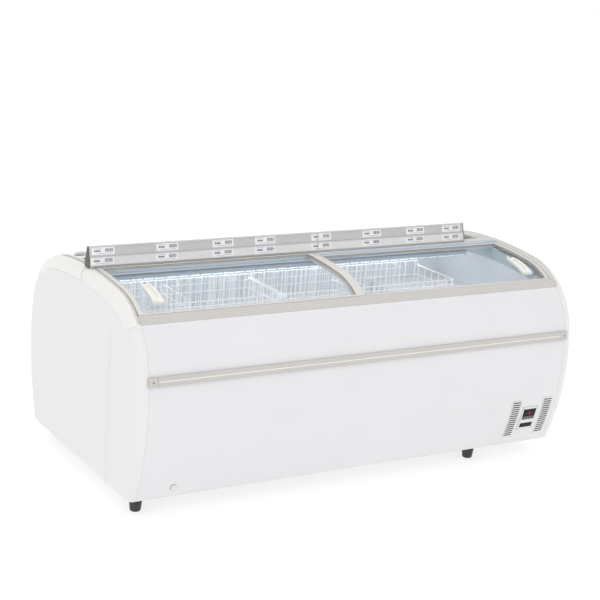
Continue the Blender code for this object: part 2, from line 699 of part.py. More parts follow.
def foot(side, end):
    """Levelling foot: a stout tapered pad and stem with its mounting plate."""
    x = FEET[side][end]
    y = SIDES[side] * FOOT_Y
    bm = bmesh.new()
    top = FOOT_HEIGHT - GAP
    for low, high, r0, r1 in ((0.0, 0.004, 0.019, 0.021), (0.004, 0.040, 0.021, 0.025),
                              (0.040, 0.044, 0.025, 0.014), (0.044, top, 0.014, 0.014)):
        cylinder_into(bm, (x, y, low), (x, y, high), r0, r1)
    bmesh.ops.remove_doubles(bm, verts=bm.verts, dist=1e-5)
    inner = [f for f in bm.faces if abs(f.normal.z) > 0.99 and 0.001 < f.calc_center_median().z < top - 0.001]
    bmesh.ops.delete(bm, geom=inner, context="FACES")
    made = add_mesh("{}_{}_foot".format(side, end), bm, "black_plastic")
    plate = ((x - 0.030, y - 0.030, top - 0.008), (x + 0.065, y + 0.030, top + 0.0001))
    return fuse(made, boxes("{}_{}_foot_plate".format(side, end), [plate]))


def surface_button(name, x, z, side, radius, height, slot):
    """Round fitting standing on the outer skin."""
    angle = angle_at_height(z)
    y0, z0 = skin(angle, -GAP)
    y1, z1 = skin(angle, -GAP - height)
    sign = SIDES[side]
    return cylinders(name, [((x, sign * y0, z0), (x, sign * y1, z1), radius)], slot)


def fittings():
    for side in SIDES:
        for end in FEET[side]:
            foot(side, end)
    surface_button("drain_plug", -0.811, FOOT_HEIGHT + 0.045, "front", 0.012, 0.006, "grille_plastic")
    surface_button("cord_gland", 0.620, FOOT_HEIGHT + 0.060, "rear", 0.014, 0.022, "black_plastic")


# ---------------------------------------------------------------- assembly
for side in SIDES:
    side_panel(side)
    top_trim(side)
    bumper(side)
    for end in ENDS:
        arch_moulding(end, side)
        lid(side, end)
        basket(side, end)
        divider(side, end)
for end in ENDS:
    end_panel(end)
spine_beam()
base_pan()
inner_liner()
insulation_foam()
light_canopy()
price_rail()
compressor()
condenser()
fan()
controls()
vent_grilles()
fittings()
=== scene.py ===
"""Visual model of a double-sided supermarket island freezer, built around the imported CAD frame.

Metres, in the frame's own axes: +X runs to the right-hand end, the front faces -Y and +Z is up.
"""
import json
import math

import bmesh
import bpy
from mathutils import Matrix, Vector

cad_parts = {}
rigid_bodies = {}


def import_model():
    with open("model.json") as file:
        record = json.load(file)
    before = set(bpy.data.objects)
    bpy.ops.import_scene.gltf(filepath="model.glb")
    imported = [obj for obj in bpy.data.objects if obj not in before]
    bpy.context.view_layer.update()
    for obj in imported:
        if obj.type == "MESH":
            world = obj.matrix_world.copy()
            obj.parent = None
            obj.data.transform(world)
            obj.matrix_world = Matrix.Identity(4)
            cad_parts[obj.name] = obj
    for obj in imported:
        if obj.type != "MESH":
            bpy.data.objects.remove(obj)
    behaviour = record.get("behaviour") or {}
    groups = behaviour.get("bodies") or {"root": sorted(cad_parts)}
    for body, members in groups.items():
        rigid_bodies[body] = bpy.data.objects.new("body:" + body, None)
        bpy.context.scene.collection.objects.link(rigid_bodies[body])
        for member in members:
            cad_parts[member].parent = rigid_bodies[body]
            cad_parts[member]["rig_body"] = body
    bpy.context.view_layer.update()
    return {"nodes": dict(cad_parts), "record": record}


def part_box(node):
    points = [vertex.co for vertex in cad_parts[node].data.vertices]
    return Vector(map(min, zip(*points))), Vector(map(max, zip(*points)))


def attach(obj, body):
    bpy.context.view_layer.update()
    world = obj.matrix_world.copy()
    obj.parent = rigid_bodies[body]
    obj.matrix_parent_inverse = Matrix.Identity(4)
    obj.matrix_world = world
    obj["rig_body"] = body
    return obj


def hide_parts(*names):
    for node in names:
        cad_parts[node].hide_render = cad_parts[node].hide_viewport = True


for leftover in list(bpy.data.objects):
    bpy.data.objects.remove(leftover)
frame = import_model()
NODES = frame["nodes"]
SLOTS = {entry["node"]: entry["material_slot"] for entry in frame["record"]["subparts"]}
CABINET = "cabinet"

SIDES = {"front": -1, "rear": 1}   # each side's direction along Y
ENDS = {"left": -1, "right": 1}    # each end's direction along X


# ---------------------------------------------------------------- driving dimensions, as in the CAD
END_X = 1.0
CAP_X = 0.955                      # joint between the body panels and the end pieces
ARCH_ROUND = 0.030
FOOT_HEIGHT = 0.06
BODY_TOP = FOOT_HEIGHT + 0.773
HALF_DEPTH = 0.538

# the cross-section: a belly arc, a shoulder arc and a crown arc, each tangent to the next
BELLY_R = 0.906
BELLY_Z = FOOT_HEIGHT + 0.37
SHOULDER_R = 0.297
CROWN_R = 2.0
CHORD = 0.012                      # facet length along the cross-section
TRIM_LOW = 44.5                    # surface angle, in degrees, where the top trims and mouldings begin


def tangent_centre(a, reach_a, b, reach_b):
    """The outer of the two points that lie reach_a from a and reach_b from b."""
    span = b - a
    along = (span.length_squared + reach_a ** 2 - reach_b ** 2) / (2 * span.length)
    across = math.sqrt(reach_a ** 2 - along ** 2)
    unit = span.normalized()
    side = Vector((-unit.y, unit.x))
    foot = a + unit * along
    return max(foot + side * across, foot - side * across, key=lambda p: p.x)


BELLY = Vector((HALF_DEPTH - BELLY_R, BELLY_Z))
CROWN = Vector((0.0, BODY_TOP - CROWN_R))
SHOULDER = tangent_centre(BELLY, BELLY_R - SHOULDER_R, CROWN, CROWN_R - SHOULDER_R)
SHOULDER_START = math.degrees(math.atan2(SHOULDER.y - BELLY.y, SHOULDER.x - BELLY.x))
SHOULDER_END = math.degrees(math.atan2(SHOULDER.y - CROWN.y, SHOULDER.x - CROWN.x))


def arc_at(angle):
    """Centre and radius of the arc whose surface faces this angle, in degrees up from the horizontal."""
    if angle < SHOULDER_START:
        return BELLY, BELLY_R
    if angle < SHOULDER_END:
        return SHOULDER, SHOULDER_R
    return CROWN, CROWN_R


def skin(angle, depth=0.0):
    """(y, z) on the cross-section where its surface faces this angle, depth inside it."""
    centre, radius = arc_at(angle)
    turn = math.radians(angle)
    return centre.x + (radius - depth) * math.cos(turn), centre.y + (radius - depth) * math.sin(turn)


def angle_at_height(z):
    """Surface angle at a height on the belly arc."""
    return math.degrees(math.asin((z - BELLY_Z) / BELLY_R))


def on_front(z, depth):
    """Y of the front panel's face at this height, depth inside it."""
    return -skin(angle_at_height(z), depth)[0]


def heights_to_angles(low, high):
    """Surface angles at two heights on the belly arc."""
    return angle_at_height(low), angle_at_height(high)


def angle_at_y(y):
    """Surface angle at a distance from the middle, on the crown arc."""
    return math.degrees(math.acos(y / CROWN_R))


def sweep(start, end, depth):
    """Points along the cross-section from one surface angle to another."""
    stops = [start] + [a for a in (SHOULDER_START, SHOULDER_END) if start < a < end] + [end]
    angles = [start]
    for low, high in zip(stops, stops[1:]):
        count = max(1, round(math.radians(high - low) * arc_at((low + high) / 2)[1] / CHORD))
        angles += [low + (high - low) * (i + 1) / count for i in range(count)]
    return [skin(a, depth) for a in angles]


# ---------------------------------------------------------------- materials
def shader_of(made):
    return made.node_tree.nodes["Principled BSDF"]


def surface(name, colour, roughness=0.4, metallic=0.0, grain=400.0, bump=0.02, mottle=0.03, coat=0.0):
    """Plastic, enamel or metal with fine surface grain, slight colour drift and uneven gloss."""
    made = bpy.data.materials.new(name)
    made.use_nodes = True
    nodes = made.node_tree.nodes
    links = made.node_tree.links
    shader = shader_of(made)
    shader.inputs["Metallic"].default_value = metallic
    shader.inputs["Coat Weight"].default_value = coat
    shader.inputs["Coat Roughness"].default_value = 0.12
    place = nodes.new("ShaderNodeTexCoord")
    cloud = nodes.new("ShaderNodeTexNoise")
    cloud.inputs["Scale"].default_value = 5.0
    cloud.inputs["Detail"].default_value = 4.0
    links.new(place.outputs["Object"], cloud.inputs["Vector"])
    tint = nodes.new("ShaderNodeMix")
    tint.data_type = "RGBA"
    tint.inputs["A"].default_value = (*[c * (1 - mottle) for c in colour], 1.0)
    tint.inputs["B"].default_value = (*[min(1.0, c * (1 + mottle)) for c in colour], 1.0)
    links.new(cloud.outputs["Fac"], tint.inputs["Factor"])
    links.new(tint.outputs["Result"], shader.inputs["Base Color"])
    gloss = nodes.new("ShaderNodeMapRange")
    gloss.inputs["To Min"].default_value = roughness * 0.85
    gloss.inputs["To Max"].default_value = roughness * 1.15
    links.new(cloud.outputs["Fac"], gloss.inputs["Value"])
    links.new(gloss.outputs["Result"], shader.inputs["Roughness"])
    fine = nodes.new("ShaderNodeTexNoise")
    fine.inputs["Scale"].default_value = grain
    fine.inputs["Detail"].default_value = 2.0
    links.new(place.outputs["Object"], fine.inputs["Vector"])
    relief = nodes.new("ShaderNodeBump")
    relief.inputs["Strength"].default_value = bump
    relief.inputs["Distance"].default_value = 0.001
    links.new(fine.outputs["Fac"], relief.inputs["Height"])
    links.new(relief.outputs["Normal"], shader.inputs["Normal"])
    return made


def glow(made, colour, strength):
    """Make a material give off light of its own."""
    shader = shader_of(made)
    shader.inputs["Emission Color"].default_value = (*colour, 1.0)
    shader.inputs["Emission Strength"].default_value = strength
    return made


def glass(name, colour, alpha):
    """Clear sheet: mostly see-through, with its own reflection and a cool tint."""
    made = surface(name, colour, 0.04, bump=0.0, mottle=0.01)
    shader = shader_of(made)
    shader.inputs["Alpha"].default_value = alpha
    shader.inputs["Specular IOR Level"].default_value = 0.25
    made.surface_render_method = "BLENDED"
    return made


# one material for each material slot in the record
MATERIALS = {
    "white_enamel": surface("white_enamel", (0.745, 0.745, 0.762), 0.30, grain=900, bump=0.015, coat=0.3),
    "end_plastic": surface("end_plastic", (0.765, 0.765, 0.77), 0.40, grain=700, bump=0.03),
    "arch_plastic": surface("arch_plastic", (0.80, 0.79, 0.77), 0.30, grain=700, bump=0.03),
    "trim_plastic": surface("trim_plastic", (0.565, 0.545, 0.525), 0.38, grain=700, bump=0.03),
    "bumper_plastic": surface("bumper_plastic", (0.56, 0.54, 0.51), 0.45, grain=600, bump=0.05),
    "lid_frame": surface("lid_frame", (0.68, 0.66, 0.63), 0.36, grain=700, bump=0.03),
    "lid_glass": glass("lid_glass", (0.03, 0.045, 0.05), 0.07),
    "handle_plastic": surface("handle_plastic", (0.84, 0.83, 0.79), 0.38, grain=700, bump=0.03),
    "spine_enamel": surface("spine_enamel", (0.60, 0.68, 0.76), 0.35, grain=900, bump=0.015),
    "rail_plastic": surface("rail_plastic", (0.60, 0.59, 0.58), 0.42, grain=600, bump=0.04),
    "rail_cap": surface("rail_cap", (0.10, 0.10, 0.08), 0.50, grain=600, bump=0.08),
    "liner_white": surface("liner_white", (0.83, 0.87, 0.91), 0.35, grain=900, bump=0.02),
    "basket_wire": surface("basket_wire", (0.93, 0.94, 0.95), 0.30, grain=800, bump=0.02),
    "foam": surface("foam", (0.82, 0.74, 0.48), 0.90, grain=250, bump=0.5),
    "led_lens": glow(surface("led_lens", (0.70, 0.82, 0.95), 0.3), (0.70, 0.82, 0.95), 0.35),
    "black_plastic": surface("black_plastic", (0.030, 0.030, 0.034), 0.45, grain=500, bump=0.08),
    "grille_plastic": surface("grille_plastic", (0.72, 0.72, 0.73), 0.42, grain=600, bump=0.05),
    "display_black": surface("display_black", (0.015, 0.015, 0.02), 0.35, bump=0.0),
    "zinc_steel": surface("zinc_steel", (0.55, 0.56, 0.58), 0.35, 1.0, grain=120, bump=0.05, mottle=0.10),
    "fin_aluminium": surface("fin_aluminium", (0.72, 0.73, 0.75), 0.32, 1.0, grain=300, bump=0.05),
    "black_steel": surface("black_steel", (0.02, 0.02, 0.022), 0.35, grain=400, bump=0.05),
}
# a faint glow in the wires stands in for the light that bounces about between the pale tank walls
glow(MATERIALS["basket_wire"], (0.92, 0.96, 1.0), 0.20)

# materials of the small pieces that only this script makes
TAG_WHITE = surface("tag_card", (0.86, 0.85, 0.88), 0.5, grain=900, bump=0.02)
INK = surface("printed_ink", (0.05, 0.05, 0.06), 0.5, grain=900, bump=0.02)
# greyer band on the tank end walls: painted shade under the lid guides and the lid glass
SHADE_BAND_TEAL = surface("painted_shade_band", (0.54, 0.62, 0.65), 0.4, grain=900, bump=0.02)
# card strips behind the tags: one card, painted lighter for the lower tier and darker for the upper tier, as
# painted light and shade
LIT_AND_SHADED_INSERTS = (surface("insert_low_painted_light", (0.74, 0.73, 0.72), 0.35, grain=600, bump=0.03),
           surface("insert_high_painted_shade", (0.56, 0.55, 0.54), 0.35, grain=600, bump=0.03))
KEY_GREY = surface("key_grey", (0.20, 0.19, 0.23), 0.5, grain=600, bump=0.04)
DIGIT_RED = glow(surface("digit_red", (0.30, 0.012, 0.012), 0.3), (0.30, 0.012, 0.012), 0.25)
SCREW = surface("screw_steel", (0.30, 0.30, 0.31), 0.35, 1.0, grain=300, bump=0.05)
SEAM = surface("seam_shadow", (0.30, 0.30, 0.31), 0.6)
FAINT_SEAM = surface("faint_seam", (0.66, 0.66, 0.67), 0.6)
MATT_BLACK = surface("matt_black", (0.02, 0.02, 0.022), 0.7, grain=500, bump=0.05)
for dark in (MATT_BLACK, MATERIALS["display_black"]):
    shader_of(dark).inputs["Specular IOR Level"].default_value = 0.15
CLEAR_STRIP = glass("clear_strip", (0.80, 0.82, 0.82), 0.30)
BRIGHT_LINE = surface("bright_line", (0.86, 0.85, 0.83), 0.25, grain=700, bump=0.02)
GUIDE = surface("guide_grey", (0.50, 0.485, 0.46), 0.5, grain=500, bump=0.05)
GASKET = surface("gasket_grey", (0.34, 0.35, 0.36), 0.55, grain=500, bump=0.08)


# ---------------------------------------------------------------- making and placing pieces
def place(obj, material, body, slot):
    """Give a finished piece its material and its CAD body; the slot argument is not used."""
    obj.data.materials.clear()
    obj.data.materials.append(material)
    if not obj.users_collection:
        bpy.context.scene.collection.objects.link(obj)
    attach(obj, body)


def outwards(bm):
    """Turn every face of a closed mesh outwards."""
    bmesh.ops.recalc_face_normals(bm, faces=bm.faces)
    if bm.calc_volume(signed=True) < 0:
        bmesh.ops.reverse_faces(bm, faces=bm.faces)


def finish_mesh(bm, name, smooth_angle=32.0):
    """A new object with smooth shading, broken where its faces turn more than smooth_angle."""
    outwards(bm)
    mesh = bpy.data.meshes.new(name)
    bm.to_mesh(mesh)
    bm.free()
    mesh.polygons.foreach_set("use_smooth", [True] * len(mesh.polygons))
    mesh.set_sharp_from_angle(angle=math.radians(smooth_angle))
    return bpy.data.objects.new(name, mesh)


def soften(bm, ease, angle=35.0, segments=2):
    """Bevel the edges that turn more than angle."""
    limit = math.radians(angle)
    edges = [e for e in bm.edges if len(e.link_faces) == 2 and e.calc_face_angle(0.0) > limit]
    bmesh.ops.bevel(bm, geom=edges, offset=ease, segments=segments, profile=0.5, affect="EDGES",
                    clamp_overlap=True)


def refined(node, ease, angle=35.0, segments=2, material=None):
    """A smooth-shaded copy of a CAD node with eased edges, which stands for that node."""
    source = NODES[node]
    slot = SLOTS[node]
    bm = bmesh.new()
    bm.from_mesh(source.data)
    bmesh.ops.remove_doubles(bm, verts=bm.verts, dist=1e-5)
    bmesh.ops.dissolve_limit(bm, angle_limit=0.002, verts=bm.verts, edges=bm.edges)
    if ease:
        soften(bm, ease, angle, segments)
    obj = finish_mesh(bm, node + "_finish", smooth_angle=34.0)
    place(obj, material or MATERIALS[slot], source["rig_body"], slot)
    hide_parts(node)


def ordered(sign, near, far):
    """Two distances from the middle as low and high coordinates on one side of it."""
    return sorted((sign * near, sign * far))


def box_into(bm, xs, ys, zs):
    """Box between the low and high coordinate of each axis."""
    low, high = (Vector(corner) for corner in zip(xs, ys, zs))
    where = Matrix.Translation((low + high) / 2) @ Matrix.Diagonal((*(high - low), 1.0))
    bmesh.ops.create_cube(bm, size=1.0, matrix=where)


def disc_into(bm, base, tip, radius, tip_radius):
    """Round piece between the middles of its two faces."""
    base = Vector(base)
    axis = Vector(tip) - base
    turn = axis.to_track_quat("Z", "Y").to_matrix().to_4x4()
    bmesh.ops.create_cone(bm, cap_ends=True, segments=24, radius1=radius, radius2=tip_radius,
                          depth=axis.length, matrix=Matrix.Translation(base + axis / 2) @ turn)


DISC_TAPER = 0.85


def face_disc(bm, x, z, radius, proud, height):
    """Round piece standing on the front panel's curve."""
    angle = angle_at_height(z)
    y0, z0 = skin(angle, -proud)
    y1, z1 = skin(angle, -proud - height)
    disc_into(bm, (x, -y0, z0), (x, -y1, z1), radius, radius * DISC_TAPER)


def loft(bm, rings):
    """Skin a row of equal rings of points, and close both ends."""
    rows = [[bm.verts.new(p) for p in ring] for ring in rings]
    for a, b in zip(rows, rows[1:]):
        for i in range(len(a)):
            j = (i + 1) % len(a)
            bm.faces.new((a[i], a[j], b[j], b[i]))
    bm.faces.new(rows[0][::-1])
    bm.faces.new(rows[-1])


def strip_ring(xs, sign, outer, inner):
    """The four corners of a strip between its X limits and two (y, z) points of the cross-section."""
    return [(xs[0], sign * outer[0], outer[1]), (xs[1], sign * outer[0], outer[1]),
            (xs[1], sign * inner[0], inner[1]), (xs[0], sign * inner[0], inner[1])]


def arc_strip(name, side, xs, angles, depths, material, slot, ease=0.0004):
    """A cabinet strip that follows the cross-section between two surface angles and two depths."""
    outer, inner = (sweep(*angles, depth) for depth in depths)
    bm = bmesh.new()
    loft(bm, [strip_ring(xs, SIDES[side], *points) for points in zip(outer, inner)])
    outwards(bm)
    if ease:
        soften(bm, ease)
    place(finish_mesh(bm, name), material, CABINET, slot)


def wires(name, paths, radius, node=None):
    """Round basket wires along point lists, as one piece, which may stand for a CAD node."""
    curve = bpy.data.curves.new(name, "CURVE")
    curve.dimensions = "3D"
    curve.bevel_depth = radius
    curve.bevel_resolution = 1
    curve.use_fill_caps = True
    for path, closed in paths:
        spline = curve.splines.new("POLY")
        spline.points.add(len(path) - 1)
        for point, co in zip(spline.points, path):
            point.co = (*co, 1.0)
        spline.use_cyclic_u = closed
        spline.use_smooth = True
    obj = bpy.data.objects.new(name, curve)
    place(obj, MATERIALS["basket_wire"], CABINET, "basket_wire")
    if node:
        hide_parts(node)


def spaced(low, high, pitch):
    """Evenly spaced places from low to high, about a pitch apart."""
    count = max(1, round((high - low) / pitch))
    return [low + (high - low) * i / count for i in range(count + 1)]


# ---------------------------------------------------------------- cabinet shell
def cabinet_shell():
    for side in SIDES:
        refined(side + "_panel", ease=0.0006)
        refined(side + "_top_trim", ease=0.0010)
        refined(side + "_bumper", ease=0.0012)
        for end in ENDS:
            refined("{}_{}_moulding".format(end, side), ease=0.0012, angle=50.0)
            refined("{}_{}_bumper_cap".format(side, end), ease=0.0025, segments=3)
    for node in ("base_pan", "spine_beam", "light_canopy", "inner_liner", "price_rail"):
        refined(node, ease=0.0008)
    for end in ENDS:
        refined(end + "_end_panel", ease=0.0010, angle=50.0)
        refined(end + "_rail_cap", ease=0.0006)
    for node in ("compressor", "condenser", "fan_shroud", "fan_blade", "control_bezel", "control_display",
                 "left_vent_grille", "right_vent_grille", "drain_plug", "cord_gland"):
        refined(node, ease=0.0005)
    refined("insulation_foam", ease=0.0)
    for side in SIDES:
        for end in ENDS:
            refined("{}_{}_foot".format(side, end), ease=0.0006)


END_SEAM_Y = 0.287
END_SEAM_Z = (0.064, 0.702)
END_SEAM_HALF = 0.0004
END_SEAM_DEPTH = 0.0012
PANEL_SEAM_X = (CAP_X - 0.0012, CAP_X + 0.0006)
PANEL_FOOT = 0.063                 # height of the seams' lower ends


def end_seams():
    """The joints round an end panel: with its corner piece, and with the body panels."""
    for end, sign in ENDS.items():
        bm = bmesh.new()
        box_into(bm, ordered(sign, END_X - END_SEAM_DEPTH, END_X),
                 (-END_SEAM_Y - END_SEAM_HALF, -END_SEAM_Y + END_SEAM_HALF), END_SEAM_Z)
        place(finish_mesh(bm, end + "_end_seam"), FAINT_SEAM, CABINET, "end_plastic")
        for side in SIDES:
            arc_strip("{}_{}_panel_seam".format(end, side), side, ordered(sign, *PANEL_SEAM_X),
                      angles=(angle_at_height(PANEL_FOOT), TRIM_LOW), depths=(-0.0002, 0.002),
                      material=FAINT_SEAM, slot="end_plastic", ease=0.0)


SEAL_LINES = ((0.9565, 0.9605), (0.9640, 0.9660))  # inner and outer edge of each, along X
SEAL_ANGLES = (TRIM_LOW + 1, 89.9)


def moulding_lines():
    """Raised seal lines along the arch mouldings' inner edges."""
    for end, sign in ENDS.items():
        for side in SIDES:
            for number, edges in enumerate(SEAL_LINES):
                arc_strip("{}_{}_seal_{}".format(end, side, number), side, ordered(sign, *edges),
                          angles=SEAL_ANGLES, depths=(-0.0008, 0.002), material=GUIDE, slot="arch_plastic")


ARCH_INNER_X = 0.9555
ARCH_SIDE = 0.048                  # how far the joint runs down the end's outer face
ARCH_STEPS = 8
ARCH_INSIDE = Vector((0.93, BODY_TOP - 0.06))      # x and z of a point that the joint's depth faces
ARCH_JOINT_HALF = 0.0005
ARCH_JOINT_DEPTH = 0.0012


def arch_joints():
    """Where the two mouldings of an arch meet over the middle of the cabinet."""
    profile = [(ARCH_INNER_X, BODY_TOP), (END_X - ARCH_ROUND, BODY_TOP)]
    for step in range(1, ARCH_STEPS + 1):
        turn = math.radians(90 * step / ARCH_STEPS)
        profile.append((END_X - ARCH_ROUND + ARCH_ROUND * math.sin(turn),
                        BODY_TOP - ARCH_ROUND + ARCH_ROUND * math.cos(turn)))
    profile.append((END_X, BODY_TOP - ARCH_SIDE))
    for end, sign in ENDS.items():
        bm = bmesh.new()
        rings = []
        for x, z in profile:
            inwards = (ARCH_INSIDE - Vector((x, z))).normalized() * ARCH_JOINT_DEPTH
            deep_x = sign * (x + inwards.x)
            deep_z = z + inwards.y
            rings.append([(sign * x, -ARCH_JOINT_HALF, z), (sign * x, ARCH_JOINT_HALF, z),
                          (deep_x, ARCH_JOINT_HALF, deep_z), (deep_x, -ARCH_JOINT_HALF, deep_z)])
        loft(bm, rings)
        place(finish_mesh(bm, end + "_arch_joint"), GUIDE, CABINET, "arch_plastic")


BUMPER_Z = FOOT_HEIGHT + 0.4815
BUMPER_LINE_X = 0.922
BUMPER_LINE_HALF = 0.10            # in degrees of surface angle
BUMPER_SCREW_X = 0.9415
BUMPER_SCREW_DEPTHS = (-0.0120, -0.0134)


def bumper_details():
    """Bright line along the middle of each bumper rail, and the screw in each of its end caps."""
    centre = angle_at_height(BUMPER_Z)
    y0, z0 = skin(centre, BUMPER_SCREW_DEPTHS[0])
    y1, z1 = skin(centre, BUMPER_SCREW_DEPTHS[1])
    for side, sign in SIDES.items():
        arc_strip(side + "_bumper_line", side, (-BUMPER_LINE_X, BUMPER_LINE_X),
                  angles=(centre - BUMPER_LINE_HALF, centre + BUMPER_LINE_HALF), depths=(-0.0128, -0.011),
                  material=BRIGHT_LINE, slot="bumper_plastic")
        for end, way in ENDS.items():
            x = way * BUMPER_SCREW_X
            bm = bmesh.new()
            disc_into(bm, (x, sign * y0, z0), (x, sign * y1, z1), radius=0.0042, tip_radius=0.0034)
            place(finish_mesh(bm, "{}_{}_bumper_screw".format(side, end)), SCREW, CABINET, "bumper_plastic")


DRAIN_RING_WIDTH = 0.0018


def drain_ring():
    """Shadow ring round the drain plug."""
    low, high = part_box("drain_plug")
    radius = (high.x - low.x) / 2 + DRAIN_RING_WIDTH
    bm = bmesh.new()
    face_disc(bm, (low.x + high.x) / 2, (low.z + high.z) / 2, radius, proud=0.0001, height=0.0006)
    place(finish_mesh(bm, "drain_plug_ring"), SEAM, CABINET, "grille_plastic")


# ---------------------------------------------------------------- lids
HANDLE_SCREW_R = 0.0048
HANDLE_SCREW_INSET = 0.014         # from the pull's edge nearest the spine
HANDLE_SCREW_SUNK = 0.004
HANDLE_SCREW_PROUD = 0.0002


def handle_screw(lid, side):
    """Dark screw pocket near the pull's spine end."""
    low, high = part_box(lid + "_handle")
    sign = SIDES[side]
    x = (low.x + high.x) / 2
    y = min(abs(low.y), abs(high.y)) + HANDLE_SCREW_INSET
    angle = angle_at_y(y)
    depth = CROWN_R - math.hypot(y - CROWN.x, high.z - CROWN.y)
    y0, z0 = skin(angle, depth + HANDLE_SCREW_SUNK)
    y1, z1 = skin(angle, depth - HANDLE_SCREW_PROUD)
    bm = bmesh.new()
    disc_into(bm, (x, sign * y0, z0), (x, sign * y1, z1), HANDLE_SCREW_R, HANDLE_SCREW_R)
    place(finish_mesh(bm, lid + "_handle_screw"), SCREW, lid, "handle_plastic")


def lids():
    for side in SIDES:
        for end in ENDS:
            lid = "{}_{}_lid".format(side, end)
            refined(lid + "_frame", ease=0.0012)
            refined(lid + "_glass", ease=0.0005)
            refined(lid + "_handle", ease=0.0018, angle=40.0, segments=3)
            handle_screw(lid, side)


# ---------------------------------------------------------------- baskets and the tank's walls
MESH_WIRE_R = 0.0018
AISLE_WIRE_R = 0.0023
RIM_R = 0.0028
FINE_PITCH = 0.024
WIDE_PITCH = 0.048
RING_PITCH = 0.020
DIVIDER_PITCH = 0.038
DIVIDER_MARGIN = 0.020
CROSS_WIRE_DROP = 0.040            # from a divider's top to its cross wire
WIRE_MARGIN = 0.012                # from a basket's corner to its first upright wire
BACK_RISE = 0.018                  # how far the wall under the spine stands above the rim
AISLE_RINGS = 3
CLIP_HALF = 0.017
CLIP_DEPTH = 0.010
CLIP_HEIGHT = 0.016


def wire_basket(side, end):
    """Welded basket: fine wires on the aisle wall, wide ones elsewhere, and a thicker rim."""
    name = "{}_{}_basket".format(side, end)
    low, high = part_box(name)
    low = low + Vector((RIM_R, RIM_R, RIM_R))
    high = high - Vector((RIM_R, RIM_R, RIM_R))
    top = high.z - BACK_RISE
    near, far = (low.y, high.y) if side == "front" else (high.y, low.y)

    mesh = []
    for x in spaced(low.x + WIRE_MARGIN, high.x - WIRE_MARGIN, WIDE_PITCH):
        mesh.append(([(x, near, low.z), (x, far, low.z), (x, far, high.z)], False))
    for y in spaced(low.y + WIRE_MARGIN, high.y - WIRE_MARGIN, WIDE_PITCH):
        mesh.append(([(low.x, y, top), (low.x, y, low.z), (high.x, y, low.z), (high.x, y, top)], False))
    for z in spaced(top - 2 * RING_PITCH, low.z + 2 * RING_PITCH, 2 * RING_PITCH):
        ring = [(low.x, low.y, z), (high.x, low.y, z), (high.x, high.y, z), (low.x, high.y, z)]
        mesh.append((ring, True))
    mesh.append(([(low.x, far, top), (low.x, far, high.z), (high.x, far, high.z), (high.x, far, top)], False))
    wires(name + "_mesh", mesh, MESH_WIRE_R, node=name)

    aisle = []
    for x in spaced(low.x + WIRE_MARGIN, high.x - WIRE_MARGIN, FINE_PITCH):
        aisle.append(([(x, near, top), (x, near, low.z)], False))
    for number in range(AISLE_RINGS):
        z = top - RING_PITCH * (number + 1)
        aisle.append(([(low.x, near, z), (high.x, near, z)], False))
    wires(name + "_aisle_wall", aisle, AISLE_WIRE_R)

    base = [(low.x, low.y, low.z), (high.x, low.y, low.z), (high.x, high.y, low.z), (low.x, high.y, low.z)]
    rim = [(low.x, far, top), (low.x, near, top), (high.x, near, top), (high.x, far, top)]
    wires(name + "_rim", [(base, True), (rim, False)], RIM_R)


def wire_divider(side, end):
    """Wire frame with uprights and one cross wire near its top."""
    name = "{}_{}_divider".format(side, end)
    low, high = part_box(name)
    x = (low.x + high.x) / 2
    bottom = low.z + RIM_R
    top = high.z - RIM_R
    frame_loop = [(x, low.y + RIM_R, bottom), (x, high.y - RIM_R, bottom), (x, high.y - RIM_R, top),
                  (x, low.y + RIM_R, top)]
    paths = [(frame_loop, True)]
    for y in spaced(low.y + DIVIDER_MARGIN, high.y - DIVIDER_MARGIN, DIVIDER_PITCH):
        paths.append(([(x, y, bottom), (x, y, top)], False))
    cross_z = high.z - CROSS_WIRE_DROP
    paths.append(([(x, low.y, cross_z), (x, high.y, cross_z)], False))
    wires(name + "_wires", paths, MESH_WIRE_R, node=name)


def basket_clips():
    """Clip that ties each pair of baskets together at the aisle rim."""
    for side, sign in SIDES.items():
        low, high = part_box(side + "_left_basket")
        next_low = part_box(side + "_right_basket")[0]
        x = (high.x + next_low.x) / 2
        rim = high.z - BACK_RISE
        far = max(abs(low.y), abs(high.y))
        bm = bmesh.new()
        box_into(bm, (x - CLIP_HALF, x + CLIP_HALF), ordered(sign, far - CLIP_DEPTH, far + 0.001),
                 (rim - CLIP_HEIGHT, rim + 0.0015))
        soften(bm, ease=0.0022)
        place(finish_mesh(bm, side + "_basket_clip"), MATERIALS["basket_wire"], CABINET, "basket_wire")


BAND_ANGLES = (70.0, 89.95)
BAND_DEPTH = 0.034                 # of its upper edge, below the skin line
BAND_HEIGHT = 0.050
BAND_X = (0.9312, 0.9318)


def end_wall_shade_bands():
    """Greyer band along the top of each tank end wall, under the lid guides: painted shade of the guides and
    of the lid glass above it.
    """
    for end, sign in ENDS.items():
        xs = ordered(sign, *BAND_X)
        for side, way in SIDES.items():
            bm = bmesh.new()
            loft(bm, [strip_ring(xs, way, (y, z), (y, z - BAND_HEIGHT))
                      for y, z in sweep(*BAND_ANGLES, BAND_DEPTH)])
            name = "{}_{}_end_wall_band".format(end, side)
            place(finish_mesh(bm, name), SHADE_BAND_TEAL, CABINET, "liner_white")


# ---------------------------------------------------------------- lighting under the spine
CHIP_PITCH = 0.050
CHIP_HALF = 0.022
CHIP_MARGIN = 0.030
CHIP_PROUD = (0.0002, 0.0010)      # its back and face, out from the strip's outer face
CHIP_RISE = (0.0025, 0.0065)       # its edges, up from the strip's lower edge


